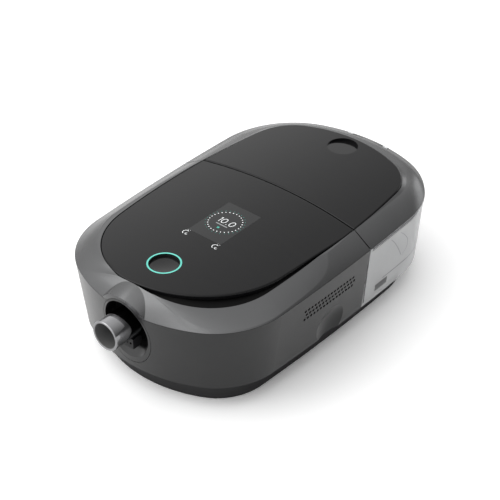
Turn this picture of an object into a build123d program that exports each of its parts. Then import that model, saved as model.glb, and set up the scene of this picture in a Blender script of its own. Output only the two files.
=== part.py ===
from build123d import *
from math import cos, hypot, pi, radians, sin, sqrt
import os

# A bedside CPAP machine: a front unit with the blower, the display and the hose outlet, and a
# clear water tank behind it that slides off a heated deck.  Millimetres, +Z up, -Y is the front
# with the outlet, and z = 0 is the table.  The origin is under the middle of the whole length.

# ---------------------------------------------------------------- driving dimensions

# Body outline at its widest line, the crease between the side wall and the sloping rim
body_length = 269.0
body_width = 172.7
body_side_r = 1654.0
body_front_r = 117.0
body_rear_r = 125.5
body_front_corner = 57.8
body_rear_corner = 66.7
crease_front_z = 68.4
crease_rise = 6.4

# Side wall and plinth
skirt_z = 18.4
skirt_side_taper = 6.5
skirt_front_taper = 5.6
skirt_rear_taper = 1.0
plinth_inset = 10.3
plinth_taper = 0.6
wall = 2.4
parting_gap = 0.25
fit_gap = 0.2
over = 1.0
ledge_width = 8.0

# Top panels and the rim round them: their outline, crown and fall towards the front
top_side_inset = 15.6
top_front_inset = 12.1
top_rear_inset = 19.0
top_side_r = 586.0
top_front_r = 156.0
top_rear_r = 119.0
top_front_corner = 63.0
top_rear_corner = 36.0
top_z = 84.5
crown_r = 640.0
panel_fall = 0.012
panel_t = 3.2
panel_gap = 0.4
panel_edge_r = 1.1
rim_edge_rear_z = 80.5
rim_edge_front_z = 83.0
rim_land = 0.8
rim_lip = 3.2
rim_wall = 2.0
rim_skin = 1.5

# Dip of the rim at the front right corner, where the panel's edge swoops clear of it
dip_x = 58.0
dip_y = -85.0
dip_z = 74.8
dip_fall_x = 0.2245
dip_rise_y = 0.1051
dip_lead = 0.3
swoop_x = -9.4
swoop_r = 76.5
swoop_lean = 3.0

# Seam between the front unit and the tank
front_unit_length = 160.9
seam_r = 645.0
seam_gap = 0.8

# Hose outlet
outlet_reach = 16.4
outlet_z = 55.7
outlet_r = 11.0
outlet_bore_r = 9.2
outlet_edge_r = 0.8
bowl_half_width = 21.0
bowl_half_height = 26.0
bowl_z = 49.0
bowl_wall = 1.5
bowl_gap = 0.3
hood_side = 4.3
hood_top = 2.1
hood_rise = 6.5
well_r = 17.5
well_depth = 18.0
well_wall = 2.0
flange_r = 14.0
flange_t = 2.0
duct_grip = 10.0
duct_wall = 2.1
slip = 0.05
contact_width = 11.0
contact_height = 8.0
contact_length = 8.6
contact_gap = 1.2
contact_pin_r = 0.9
contact_pitch = 3.2

# Panel carrier, under the floating corner of the panel
recess_step = 0.6
carrier_front_z = 71.4
carrier_t = 2.4
carrier_gap = 0.3
upstand_inset = 10.0

# Display, touch icons and power button
screen_width = 30.0
screen_length = 43.0
screen_y = -24.2
lens_gap = 0.1
board_t = 1.2
display_board_width = 44.0
display_board_length = 96.0
display_board_y = -45.0
lcd_t = 3.0
lcd_border = 2.0
icon_x = 13.3
icon_y = -51.7
guide_r = 2.5
button_y = -84.9
ring_r = 11.3
ring_width = 1.2
ring_depth = 1.0
button_recess = 2.2
button_t = 3.2
button_dish_r = 60.0
button_dish = 0.6
button_gap = 0.25
button_travel = 0.8
bezel_wall = 0.4
bezel_flange = 2.0
switch_size = 6.2
switch_step = 0.6

# Side vents and the thumb scoop below them
vent_count = 16
vent_rows = 3
vent_pitch = 3.4
vent_row_pitch = 3.6
vent_r = 1.1
vent_y = -12.2
vent_z = 53.6
scoop_r = 34.0
scoop_depth = 3.0
scoop_y = -7.7
scoop_z = 24.0

# Air filter door on the left wall
door_width = 44.0
door_low_z = 28.0
door_axis_z = 58.0
door_y = -28.0
door_gap = 0.3
door_pin_r = 0.7
door_pin_length = 3.0
louvre_count = 5
louvre_pitch = 4.6
louvre_height = 2.2
louvre_length = 34.0
cassette_t = 6.2
cassette_wall = 2.0
filter_window_width = 34.0
filter_window_height = 22.0

# Blower: a motor under a volute, hung on rubber mounts in a sound box
filter_bay = 15.75
duct_clear = 0.25
blower_y = -28.0
volute_t = 2.0
volute_low_z = 34.0
volute_high_z = 56.0
nozzle_edge = 0.4
nozzle_bore_r = 7.6
nozzle_reach = 42.0
eye_r = 11.0
fan_clear = 3.0
impeller_hub_r = 6.0
impeller_disc_t = 1.8
impeller_gap = 2.0
blade_count = 9
blade_t = 1.2
blade_height = 9.0
blade_root_gap = 1.0
blade_sweep = 35.0
motor_r = 14.6
motor_low_z = 7.0
motor_wall = 1.6
shaft_r = 2.0
rotor_r = 8.0
stator_gap = 0.8
stator_height = 18.0
slot_count = 6
slot_width = 2.4
slot_depth = 2.5
bearing_r = 5.0
bearing_t = 3.0
mount_gap = 0.9
mount_count = 3
box_wall = 1.6
box_clear = 1.0
box_high_z = 67.6
foam_t = 4.0
leg_r = 3.5
nozzle_gap = 0.3

# Boards, sensor and power inlet
main_board_width = 37.0
main_board_length = 88.0
main_board_side = 54.35
main_board_y = -27.0
main_board_z = 12.0
board_post_r = 3.0
board_post_inset = 5.0
capacitor_r = 5.0
capacitor_height = 14.0
capacitor_count = 3
capacitor_pitch = 13.0
capacitor_x = -8.0
capacitor_inset = 10.0
chip_size = 14.0
chip_t = 1.6
chip_count = 2
chip_pitch = 22.4
chip_y = -8.0
plug_count = 3
plug_pitch = 20.0
plug_width = 5.0
plug_length = 12.0
plug_height = 7.0
sensor_width = 12.0
sensor_length = 16.0
sensor_t = 2.2
sensor_cheek = 2.0
sensor_y = -34.0
inlet_gap = 9.9
inlet_z = 28.0
inlet_bore_r = 3.2
inlet_barrel_r = 4.8
inlet_block = 11.0
inlet_depth = 12.0
inlet_back = 2.0
inlet_pin_r = 0.9
inlet_pin_set_back = 5.4

# Feet and case screws
foot_r = 6.5
foot_side_inset = 43.35
foot_front_inset = 44.0
foot_rear_inset = 42.0
foot_t = 1.7
base_z = 0.5
screw_side_inset = 28.35
screw_gap = 4.9
screw_r = 1.5
screw_head_r = 3.0
screw_head_t = 1.9
screw_length = 18.0
post_r = 4.5
post_low_z = 8.0
post_high_z = 30.0

# Heated dock
deck_t = 2.4
heater_y = 82.0
heater_r = 38.0
heater_t = 2.6
heater_proud = 0.1
heater_flange = 1.6
heater_travel = 1.2
heater_gap = 0.3
deck_gap = 0.7
cushion_pressed = 3.0
cushion_inset = 2.0
cushion_width = 12.0
rib_side_inset = 34.35
rib_t = 2.0
rib_length = 78.0
seal_r = 12.0
seal_proud = 0.5

# Water tank
tank_lift = 0.3
tub_wall = 2.2
tank_plate_r = 35.8
tank_plate_flange = 3.2
tank_plate_t = 1.2
port_r = 9.0
port_depth = 15.0
flange_drop = 5.0
flange_height = 1.6
flange_width = 3.3
seal_gap = 1.0
lid_seal_width = 3.2
lid_seal_height = 4.2
hinge_side_inset = 8.0
liner_t = 2.0
ledge_inset = 4.0
ledge_depth = 3.0
baffle_x = 30.0
baffle_y = 40.0
baffle_r = 42.0
baffle_t = 1.6
baffle_height = 40.0
baffle_end = 4.0
notch_r = 11.5
notch_y = 108.3
notch_slope = 0.09
notch_step = 0.35

# Lid hinge at the back of the tank
hinge_inset = 2.6
hinge_drop = 1.6
knuckle_r = 2.3
knuckle_half = 14.0
ear_width = 4.0
ear_gap = 0.3
hinge_pin_r = 1.0
hinge_sweep_r = 3.7
hinge_sweep_half = 35.0

# ---------------------------------------------------------------- places worked out from them

front = outlet_reach - (body_length + outlet_reach) / 2
rear = front + body_length
seam_y = front + front_unit_length
top_front = front + top_front_inset
top_width = body_width - 2 * top_side_inset
crease_slope = crease_rise / body_length
rim_slope = (rim_edge_rear_z - rim_edge_front_z) / (seam_y - top_front)
crown_drop = (top_width / 2) ** 2 / (2 * crown_r)
carrier_rear_z = top_z - crown_drop - panel_t - parting_gap
carrier_slope = (carrier_rear_z - carrier_front_z) / (seam_y - top_front)
bowl_back = top_front - fit_gap
well_front = bowl_back + fit_gap
well_back = well_front + well_depth
outlet_front = front - outlet_reach
contact_low_z = outlet_z - outlet_r - contact_gap - contact_height
floor_z = base_z + wall
deck_z = skirt_z
tub_z = deck_z + tank_lift
tub_floor_z = tub_z + tub_wall
cushion_t = cushion_pressed + heater_travel
foot_x = body_width / 2 - foot_side_inset
screw_x = body_width / 2 - screw_side_inset
rib_x = body_width / 2 - rib_side_inset
main_board_x = body_width / 2 - main_board_side
BIG = 700.0

# The sound box fills the bay between the outlet duct and the filter; the blower fills the box
box_low_x = filter_bay - body_width / 2
box_high_x = -(outlet_r + slip + duct_wall + duct_clear)
box_half = (box_high_x - box_low_x) / 2
blower_x = (box_low_x + box_high_x) / 2
box_low_y = blower_y - box_half
box_high_y = blower_y + box_half
volute_r = box_half - box_wall - box_clear
nozzle_r = nozzle_bore_r + volute_t
nozzle_x = blower_x - (volute_r - nozzle_r - nozzle_edge)
impeller_r = volute_r - volute_t - fan_clear
mount_r = (volute_r - motor_r - motor_wall) / 2 - mount_gap
screw_front_y = box_low_y - screw_gap - post_r
screw_rear_y = box_high_y + screw_gap + post_r
inlet_y = box_high_y + inlet_gap + inlet_block / 2


def crease_z(y):
    """Height of the crease, which rises evenly towards the back."""
    return crease_front_z + crease_slope * (y - front)


def carrier_z(y):
    """Top of the carrier plate under the display panel."""
    return carrier_rear_z - carrier_slope * (seam_y - y)


def panel_z(y):
    """Top of the display panel along its centre line."""
    return top_z - panel_fall * (seam_y - y)


# ---------------------------------------------------------------- shapes that many pieces share


class Oval:
    """A rounded oblong of eight tangent arcs: two sides, two ends and four corners."""

    def __init__(self, width, front, rear, side_r, front_r, rear_r, front_corner, rear_corner):
        self.width = width
        self.front = front
        self.rear = rear
        self.side_r = side_r
        self.front_r = front_r
        self.rear_r = rear_r
        self.front_corner = front_corner
        self.rear_corner = rear_corner

    def inset(self, side, front=None, rear=None):
        """The same outline, moved inwards; a negative inset moves it outwards."""
        front = side if front is None else front
        rear = side if rear is None else rear
        return Oval(
            self.width - 2 * side,
            self.front + front,
            self.rear - rear,
            self.side_r - side,
            self.front_r - side,
            self.rear_r - side,
            self.front_corner - side,
            self.rear_corner - side,
        )

    def corner(self, end, end_r, corner_r, toward):
        """Start, middle and end of the right-hand corner arc; toward is 1 at the rear, -1 at the front."""
        side_x = self.width / 2 - self.side_r
        side_y = (self.front + self.rear) / 2
        end_y = end - toward * end_r
        span = hypot(side_x, end_y - side_y)
        along_x = -side_x / span
        along_y = (end_y - side_y) / span
        side_reach = self.side_r - corner_r
        end_reach = end_r - corner_r
        along = (side_reach**2 - end_reach**2 + span**2) / (2 * span)
        across = toward * sqrt(side_reach**2 - along**2)
        cx = side_x + along * along_x - across * along_y
        cy = side_y + along * along_y + across * along_x
        on_side = (cx + corner_r * (cx - side_x) / side_reach, cy + corner_r * (cy - side_y) / side_reach)
        on_end = (cx + corner_r * cx / end_reach, cy + corner_r * (cy - end_y) / end_reach)
        mx = (on_side[0] + on_end[0]) / 2 - cx
        my = (on_side[1] + on_end[1]) / 2 - cy
        middle = (cx + corner_r * mx / hypot(mx, my), cy + corner_r * my / hypot(mx, my))
        return on_side, middle, on_end

    def face(self):
        """The outline as a flat face at z = 0."""
        front_side, front_middle, front_end = self.corner(self.front, self.front_r, self.front_corner, -1)
        rear_side, rear_middle, rear_end = self.corner(self.rear, self.rear_r, self.rear_corner, 1)
        side_y = (self.front + self.rear) / 2

        def left(point):
            return (-point[0], point[1])

        arcs = [
            (front_side, (self.width / 2, side_y), rear_side),
            (rear_side, rear_middle, rear_end),
            (rear_end, (0, self.rear), left(rear_end)),
            (left(rear_end), left(rear_middle), left(rear_side)),
            (left(rear_side), (-self.width / 2, side_y), left(front_side)),
            (left(front_side), left(front_middle), left(front_end)),
            (left(front_end), (0, self.front), front_end),
            (front_end, front_middle, front_side),
        ]
        return make_face([ThreePointArc(*arc) for arc in arcs])


crease = Oval(
    body_width, front, rear, body_side_r, body_front_r, body_rear_r, body_front_corner, body_rear_corner
)
skirt = crease.inset(skirt_side_taper, skirt_front_taper, skirt_rear_taper)
plinth = skirt.inset(plinth_inset)
top = Oval(
    top_width,
    top_front,
    rear - top_rear_inset,
    top_side_r,
    top_front_r,
    top_rear_r,
    top_front_corner,
    top_rear_corner,
)


def flat(z):
    return Plane(origin=(0, 0, z))


def tilted(z_at_seam, slope):
    """A plane that falls towards the front, through z_at_seam at the seam."""
    return Plane(origin=(0, 0, z_at_seam - slope * seam_y), x_dir=(1, 0, 0), z_dir=(0, -slope, 1))


def crease_plane(dz=0.0):
    return tilted(crease_z(seam_y) + dz, crease_slope)


def rim_plane(dz=0.0):
    return tilted(rim_edge_rear_z + dz, rim_slope)


def carrier_plane(dz=0.0):
    return tilted(carrier_rear_z + dz, carrier_slope)


def dip_plane(dz=0.0):
    return Plane(origin=(dip_x, dip_y, dip_z + dz), z_dir=(dip_fall_x, -dip_rise_y, 1))


def above(plane):
    return plane * Pos(0, 0, BIG / 2) * Box(BIG, BIG, BIG)


def below(plane):
    return plane * Pos(0, 0, -BIG / 2) * Box(BIG, BIG, BIG)


def prism(oval, low_z, high_z):
    return extrude(Pos(0, 0, low_z) * oval.face(), high_z - low_z)


def frustum(low_oval, low_plane, high_oval, high_plane):
    return loft([low_plane * low_oval.face(), high_plane * high_oval.face()], ruled=True)


def dipped(low_oval, low_plane, high_oval, dz=0.0):
    """Sloping sides that end on an outline in the dip's tilted plane, closed down to z = 0."""
    column = prism(high_oval, 0, BIG / 2) & below(dip_plane(dz))
    upper = column.faces().sort_by(Axis.Z)[-1]
    wide = prism(low_oval.inset(-over), 0, BIG / 4) & below(low_plane)
    return loft([low_plane * low_oval.face(), upper], ruled=True) + wide


def disc(x, y, low_z, high_z, radius):
    """An upright cylinder."""
    return Pos(x, y, (low_z + high_z) / 2) * Cylinder(radius, high_z - low_z)


def rod_y(x, low_y, high_y, z, radius):
    """A cylinder that lies along Y."""
    return Pos(x, (low_y + high_y) / 2, z) * Rot(90, 0, 0) * Cylinder(radius, high_y - low_y)


def rod_x(low_x, high_x, y, z, radius):
    """A cylinder that lies along X."""
    return Pos((low_x + high_x) / 2, y, z) * Rot(0, 90, 0) * Cylinder(radius, high_x - low_x)


def block(low, high):
    """A box from its low corner to its high corner."""
    size = [b - a for a, b in zip(low, high)]
    centre = [(a + b) / 2 for a, b in zip(low, high)]
    return Pos(*centre) * Box(*size)


def seam_drum(grow=0.0):
    """Everything ahead of the seam, whose bow is part of a large upright drum."""
    return disc(0, seam_y - seam_r, -BIG / 2, BIG / 2, seam_r + grow)


def tank_region(oval, wall_inset, rear_inset=None):
    """An outline's prism behind the seam, inset from the outline and from the tank's front."""
    return prism(oval.inset(wall_inset, rear=rear_inset), 0, top_z * 1.2) - seam_drum(seam_gap + wall_inset)


def crown(slope, drop=0.0):
    """Everything below the crowned top, lowered by drop; the crown falls forwards with slope."""
    lie = Rot(90, 0, 0) * Cylinder(crown_r, 2 * BIG)
    tip = -slope * 180 / pi
    return Pos(0, seam_y, top_z - drop) * Rot(-tip, 0, 0) * Pos(0, 0, -crown_r) * lie


def ellipse_rod(half_width, half_height, low_y, high_y):
    """An elliptical prism along Y, centred on the outlet bowl."""
    outline = Plane(origin=(0, low_y, bowl_z), x_dir=(1, 0, 0), z_dir=(0, -1, 0)) * Ellipse(
        half_width, half_height
    )
    return extrude(outline, -(high_y - low_y))


def half_width_at(z, y):
    """Half the body's width at a height on the side wall."""
    share = (z - skirt_z) / (crease_z(y) - skirt_z)
    off_middle = y - (front + rear) / 2
    bow = body_side_r - sqrt(body_side_r**2 - off_middle**2)
    return body_width / 2 - bow - skirt_side_taper * (1 - share)


# ---------------------------------------------------------------- case of the front unit

outlet_opening = ellipse_rod(
    bowl_half_width + bowl_gap, bowl_half_height + bowl_gap, outlet_front, bowl_back + over
)
scoop_x = half_width_at(scoop_z, scoop_y) - scoop_depth + scoop_r
door_x = half_width_at(door_axis_z, door_y) - wall / 2
wall_outer = frustum(skirt, flat(skirt_z), crease, crease_plane(-parting_gap))
wall_inner = frustum(skirt.inset(wall), flat(skirt_z + wall), crease.inset(wall), crease_plane(parting_gap))


def vent_holes():
    """Rows of round vents through the right wall, each row half a pitch along from the next."""
    holes = []
    for row in range(vent_rows):
        z = vent_z + (row - (vent_rows - 1) / 2) * vent_row_pitch
        for column in range(vent_count):
            stagger = (row % 2 - 0.5) * vent_pitch / 2
            y = vent_y + (column - (vent_count - 1) / 2) * vent_pitch + stagger
            outside = half_width_at(z, y)
            holes.append(rod_x(outside - 3 * wall, outside + wall, y, z, vent_r))
    return holes


def door_window(grow=0.0):
    """The gap in the left wall that the filter door fills, grown all round."""
    low_y = door_y - door_width / 2 - grow
    high_y = door_y + door_width / 2 + grow
    high_z = door_axis_z + wall / 2 + grow
    return block((-body_width, low_y, door_low_z - grow), (-body_width / 3, high_y, high_z))


def screw_places():
    return [(side * screw_x, y) for side in (-1, 1) for y in (screw_front_y, screw_rear_y)]


def front_housing():
    """Side wall of the front unit, with a ledge at its foot that stands on the base."""
    shell = wall_outer - wall_inner - prism(plinth.inset(ledge_width), 0, skirt_z + 2 * wall)
    scoop_back = Pos(scoop_x, scoop_y, scoop_z) * Sphere(scoop_r + wall)
    shell = shell + (scoop_back & wall_inner)
    shell = shell - Pos(scoop_x, scoop_y, scoop_z) * Sphere(scoop_r)
    for x, y in screw_places():
        shell = shell + disc(x, y, post_low_z + fit_gap, post_high_z, post_r)
        shell = shell - disc(x, y, post_low_z, post_low_z + screw_length, screw_r + slip)
    shell = shell & seam_drum()
    pin_reach = door_width / 2 + door_gap + door_pin_length
    pin_hole = rod_y(-door_x, door_y - pin_reach, door_y + pin_reach, door_axis_z, door_pin_r + slip)
    inlet_hole = rod_x(-body_width, -body_width / 3, inlet_y, inlet_z, inlet_barrel_r + fit_gap)
    return shell - outlet_opening - door_window(door_gap) - pin_hole - inlet_hole - vent_holes()


def outlet_hood():
    """Brow over the outlet, which rises backwards to the display panel."""
    width = bowl_half_width + hood_side
    height = bowl_half_height + hood_top
    mouth = Plane(origin=(0, front - over, bowl_z), x_dir=(1, 0, 0), z_dir=(0, -1, 0))
    root = Plane(origin=(0, top_front + wall, bowl_z + hood_rise), x_dir=(1, 0, 0), z_dir=(0, -1, 0))
    hood = loft([mouth * Ellipse(width, height), root * Ellipse(width, height)], ruled=True)
    return hood & prism(crease, crease_front_z / 2, top_z) & above(crease_plane())


def upper_rim():
    """Sloping rim, flush with the display panel but for the dip at its front right corner."""
    inner_oval = crease.inset(wall)
    outer = frustum(crease, crease_plane(), top.inset(rim_land), rim_plane(rim_land / 2))
    outer = outer & dipped(crease.inset(-dip_lead), crease_plane(dip_lead), top.inset(rim_land), rim_land / 2)
    inner = frustum(inner_oval, crease_plane(-parting_gap), top.inset(-rim_wall), rim_plane(-rim_lip))
    inner = inner & dipped(inner_oval.inset(-dip_lead), crease_plane(fit_gap), top.inset(-rim_wall), -rim_lip)
    inner = inner & (Pos(0, 0, -rim_skin) * outer)
    rim = (outer - inner + outlet_hood()) & crown(panel_fall)
    well_clearance = rod_y(0, bowl_back, well_back, outlet_z, well_r + well_wall + fit_gap)
    return (rim & seam_drum()) - prism(top, 0, BIG) - outlet_opening - well_clearance


def base_tray():
    """Plinth under the whole machine, with pockets for the feet and posts for boards and screws."""
    outer = frustum(plinth.inset(plinth_taper), flat(base_z), plinth, flat(skirt_z - fit_gap))
    inner = frustum(plinth.inset(plinth_taper + wall), flat(floor_z), plinth.inset(wall), flat(skirt_z))
    tray = outer - inner
    for x, y in board_posts():
        tray = tray + disc(x, y, floor_z - wall / 2, main_board_z, board_post_r)
    for x, y in screw_places():
        tray = tray + disc(x, y, floor_z - wall / 2, post_low_z, post_r)
        tray = tray - disc(x, y, base_z - over, base_z + screw_head_t + fit_gap, screw_head_r + fit_gap)
        tray = tray - disc(x, y, base_z, post_low_z + over, screw_r + fit_gap)
    for side in (-1, 1):
        low_x = side * rib_x - rib_t / 2
        rib = block(
            (low_x, heater_y - rib_length / 2, floor_z - wall / 2),
            (low_x + rib_t, heater_y + rib_length / 2, deck_z - deck_t),
        )
        tray = tray + (rib & outer)
    for x, y in foot_places():
        tray = tray - disc(x, y, base_z - over, foot_t + slip, foot_r + slip)
    return tray


def foot_places():
    rows = (front + foot_front_inset, rear - foot_rear_inset)
    return [(side * foot_x, y) for side in (-1, 1) for y in rows]


def rubber_feet():
    return [disc(x, y, 0, foot_t, foot_r) for x, y in foot_places()]


def case_screws():
    """Pan-head screws that hold the base to the posts of the housing, with cross slots in the heads."""
    screws = []
    for x, y in screw_places():
        head_low = base_z + fit_gap
        head = disc(x, y, head_low, head_low + screw_head_t - fit_gap, screw_head_r)
        shank = disc(x, y, head_low + screw_head_t / 2, post_low_z + screw_length - over, screw_r)
        screw = head + shank
        for turn in (0, 90):
            slot = Rot(0, 0, turn) * Box(screw_head_r * 1.3, screw_r / 2, screw_head_t)
            screw = screw - Pos(x, y, head_low) * slot
        screws.append(screw)
    return screws


# ---------------------------------------------------------------- display panel and power button

ring_inner_r = ring_r - ring_width / 2
ring_outer_r = ring_r + ring_width / 2
bezel_inner_r = ring_inner_r - bezel_wall
button_top = panel_z(button_y) - button_recess
button_low = button_top - button_t
board_top = carrier_z(button_y) + 2 * fit_gap + board_t
switch_top = button_low - button_travel - fit_gap / 2


def button_disc(radius, low_z, high_z):
    return disc(0, button_y, low_z, high_z, radius)


def screen_box(grow):
    half_x = screen_width / 2 + grow
    half_y = screen_length / 2 + grow
    return block((-half_x, screen_y - half_y, 0), (half_x, screen_y + half_y, BIG / 2))


def crowned_plate(slope):
    """A glossy top plate of even thickness with a soft upper edge, before it is cut at the seam."""
    plate = prism(top.inset(panel_gap), top_z / 2, top_z * 1.2) & crown(slope)
    return plate - crown(slope, panel_t)


def softened(plate):
    """Rounds the upper edge of a crowned plate and its two upright corners at the seam."""
    upper = plate.faces().sort_by(SortBy.AREA)[-2:].sort_by(Axis.Z)[-1]
    upright = plate.edges().filter_by(Axis.Z)
    corners = sorted(upright, key=lambda edge: abs(edge.center().Y - seam_y))[:2]
    return fillet(list(upper.edges()) + corners, panel_edge_r)


def swoop():
    """Everything inside the panel's edge where it swings clear of the dip in the rim."""
    start = (swoop_x, top_front + panel_gap + swoop_r)
    arc = CenterArc(start, swoop_r, -90, 90 - swoop_lean)
    far_right = arc @ 1 + Vector(sin(radians(swoop_lean)), cos(radians(swoop_lean))) * BIG / 2
    corners = [(far_right.X, far_right.Y), (-BIG / 2, far_right.Y), (-BIG / 2, -BIG / 2), (swoop_x, -BIG / 2)]
    edges = Polyline(arc @ 1, *corners, arc @ 0)
    return extrude(make_face([arc, *edges.edges()]), BIG / 4)


def display_panel():
    """Black glass-like top of the front unit, open for the screen lens and the button."""
    plate = softened(crowned_plate(panel_fall) & seam_drum() & swoop())
    return plate - screen_box(0) - button_disc(ring_outer_r + slip, 0, BIG / 2)


def screen_lens():
    return crowned_plate(panel_fall) & screen_box(-lens_gap)


def lcd_module():
    half_x = screen_width / 2 + lcd_border
    half_y = screen_length / 2 + lcd_border
    low = fit_gap + board_t + slip
    return carrier_plane() * block(
        (-half_x, screen_y - half_y, low), (half_x, screen_y + half_y, low + lcd_t)
    )


def display_board():
    half_x = display_board_width / 2
    half_y = display_board_length / 2
    return carrier_plane() * block(
        (-half_x, display_board_y - half_y, fit_gap), (half_x, display_board_y + half_y, fit_gap + board_t)
    )


def icon_light_guides():
    """Clear pegs that carry light from the board to the two touch icons."""
    guides = []
    for side in (-1, 1):
        peg = disc(side * icon_x, icon_y, carrier_front_z, top_z, guide_r)
        peg = (peg & crown(panel_fall, panel_t + fit_gap)) - below(carrier_plane(fit_gap + board_t + slip))
        guides.append(peg)
    return guides


def panel_carrier():
    """Dark plate inside the rim, with a wall that holds the panel up over the recess."""
    plate = prism(top.inset(carrier_gap), 0, BIG / 4) & below(carrier_plane())
    plate = plate & above(carrier_plane(-carrier_t))
    upright = prism(top.inset(upstand_inset), 0, BIG / 4)
    ring = upright - prism(top.inset(upstand_inset + wall), 0, BIG / 4)
    back = upright - seam_drum(-wall - fit_gap)
    upstand = (ring + back) & above(carrier_plane(-carrier_t / 2)) & crown(panel_fall, panel_t + fit_gap)
    edge = prism(top.inset(carrier_gap), 0, BIG / 4) - prism(top.inset(upstand_inset + wall / 2), 0, BIG / 4)
    edge = edge & above(carrier_plane(-carrier_t / 2)) & below(dip_plane(-recess_step))
    edge = edge & crown(panel_fall, panel_t + fit_gap)
    carrier = (plate + upstand + edge) & seam_drum(-fit_gap)
    room = well_r + well_wall + fit_gap
    return carrier - rod_y(0, top_front - wall, well_back + fit_gap, outlet_z, room)


def button_bezel():
    """Dark sleeve that guides the button, held by its flange under the panel."""
    sleeve = button_disc(ring_outer_r, button_low + fit_gap, BIG / 4) & crown(panel_fall, ring_depth + slip)
    flange = button_disc(ring_outer_r + bezel_flange, 0, BIG / 4) & crown(panel_fall, panel_t + slip)
    flange = flange - crown(panel_fall, panel_t + bezel_wall * 2)
    return sleeve + flange - button_disc(bezel_inner_r, 0, BIG / 4)


def button_light_ring():
    ring = button_disc(ring_outer_r, 0, BIG / 4) - button_disc(ring_inner_r, 0, BIG / 4)
    return (ring & crown(panel_fall)) - crown(panel_fall, ring_depth)


def power_button():
    """Push cap with a shallow dish, and a nub over the switch."""
    cap = button_disc(bezel_inner_r - button_gap, button_low, button_top)
    cap = cap - Pos(0, button_y, button_top + button_dish_r - button_dish) * Sphere(button_dish_r)
    return cap + button_disc(guide_r, button_low - fit_gap / 2, button_low + over)


def button_switch():
    half = switch_size / 2
    body_top = switch_top - switch_step
    body = block((-half, button_y - half, board_top + slip), (half, button_y + half, body_top))
    return body + button_disc(switch_size / 4, body_top - fit_gap, switch_top - fit_gap)


# ---------------------------------------------------------------- hose outlet


def outlet_bowl():
    """Scooped surround of the outlet: an elliptical mouth that narrows to the round well."""
    plug = ellipse_rod(bowl_half_width, bowl_half_height, front - over, bowl_back)
    hood_front = prism(crease, crease_front_z / 2, top_z)
    plug = plug & (wall_outer + (hood_front & above(crease_plane(-over))))
    funnel_front = front + skirt_front_taper / 2
    mouth_width = bowl_half_width - bowl_wall
    mouth_height = bowl_half_height - bowl_wall
    mouth = Plane(origin=(0, funnel_front, bowl_z), x_dir=(1, 0, 0), z_dir=(0, -1, 0))
    throat = Plane(origin=(0, bowl_back, outlet_z), x_dir=(1, 0, 0), z_dir=(0, -1, 0))
    ends = [mouth * Ellipse(mouth_width, mouth_height), throat * Ellipse(well_r, well_r + slip)]
    funnel = loft(ends, ruled=True)
    lead = ellipse_rod(mouth_width, mouth_height, front - 2 * over, funnel_front)
    return plug - funnel - lead - contact_box(fit_gap)


def contact_box(grow):
    low = (-contact_width / 2 - grow, bowl_back - contact_length + fit_gap - grow, contact_low_z - grow)
    high = (contact_width / 2 + grow, bowl_back - fit_gap + grow, contact_low_z + contact_height + grow)
    return block(low, high)


def hose_contact_block():
    """Socket under the outlet tube for the lead of a heated hose."""
    socket = contact_box(0)
    for place in (-1, 0, 1):
        x = place * contact_pitch
        z = contact_low_z + contact_height / 2
        socket = socket - rod_y(x, front, bowl_back - contact_length / 2, z, contact_pin_r)
    return socket


def outlet_well():
    """Dark cup behind the bowl, with a back wall that the tube passes through."""
    cup = rod_y(0, well_front, well_back, outlet_z, well_r + well_wall)
    cup = cup - rod_y(0, well_front - over, well_back - well_wall, outlet_z, well_r)
    return cup - rod_y(0, well_front, well_back + over, outlet_z, outlet_r + slip)


tube_back = well_back + duct_grip
flange_low_y = well_back - well_wall - slip - flange_t


def outlet_tube():
    """Hose spigot with a rounded mouth and a flange against the back of the well."""
    tube = rod_y(0, outlet_front, tube_back, outlet_z, outlet_r)
    tube = tube + rod_y(0, flange_low_y, flange_low_y + flange_t, outlet_z, flange_r)
    tube = tube - rod_y(0, outlet_front - over, tube_back + over, outlet_z, outlet_bore_r)
    mouth = tube.edges().filter_by(GeomType.CIRCLE).sort_by(Axis.Y)[:2]
    return fillet(mouth, outlet_edge_r)


duct_front = well_back + fit_gap


def outlet_duct():
    """Silicone pipe that brings damp air from the tank to the outlet."""
    pipe = rod_y(0, duct_front, seam_y, outlet_z, outlet_r + slip + duct_wall)
    pipe = pipe - rod_y(0, duct_front - over, seam_y + over, outlet_z, outlet_r + slip)
    return pipe & seam_drum(-wall - fit_gap)


def flow_sensor():
    """Sensor block on top of the outlet duct, shaped to sit round it."""
    pipe_top = outlet_z + outlet_r + slip + duct_wall
    half_x = sensor_width / 2
    half_y = sensor_length / 2
    low = (-half_x, sensor_y - half_y, pipe_top - sensor_cheek)
    body = block(low, (half_x, sensor_y + half_y, pipe_top + sensor_t))
    around = rod_y(0, sensor_y - BIG / 2, sensor_y + BIG / 2, outlet_z, outlet_r + 2 * slip + duct_wall)
    return body - around


# ---------------------------------------------------------------- blower and its sound box

split_z = (volute_low_z + volute_high_z) / 2
nozzle_back = blower_y + nozzle_reach
box_low_z = skirt_z + wall + fit_gap


def blower_disc(low_z, high_z, radius):
    return disc(blower_x, blower_y, low_z, high_z, radius)


def volute():
    """The whole blower case: a motor cup, a round fan chamber and an outlet nozzle."""
    case = blower_disc(volute_low_z, volute_high_z, volute_r)
    case = case + rod_y(nozzle_x, blower_y, nozzle_back, split_z, nozzle_r)
    case = case + blower_disc(motor_low_z, volute_low_z + over, motor_r + motor_wall)
    case = case - blower_disc(volute_low_z + volute_t, volute_high_z - volute_t, volute_r - volute_t)
    case = case - rod_y(nozzle_x, blower_y, nozzle_back + over, split_z, nozzle_bore_r)
    case = case - blower_disc(split_z, volute_high_z + over, eye_r)
    case = case - blower_disc(motor_low_z + motor_wall, volute_low_z - bearing_t / 2, motor_r)
    case = case - blower_disc(motor_low_z + motor_wall, split_z, bearing_r + slip)
    return case


def volute_lower():
    return volute() & below(flat(split_z))


def volute_upper():
    return volute() & above(flat(split_z + slip))


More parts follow.
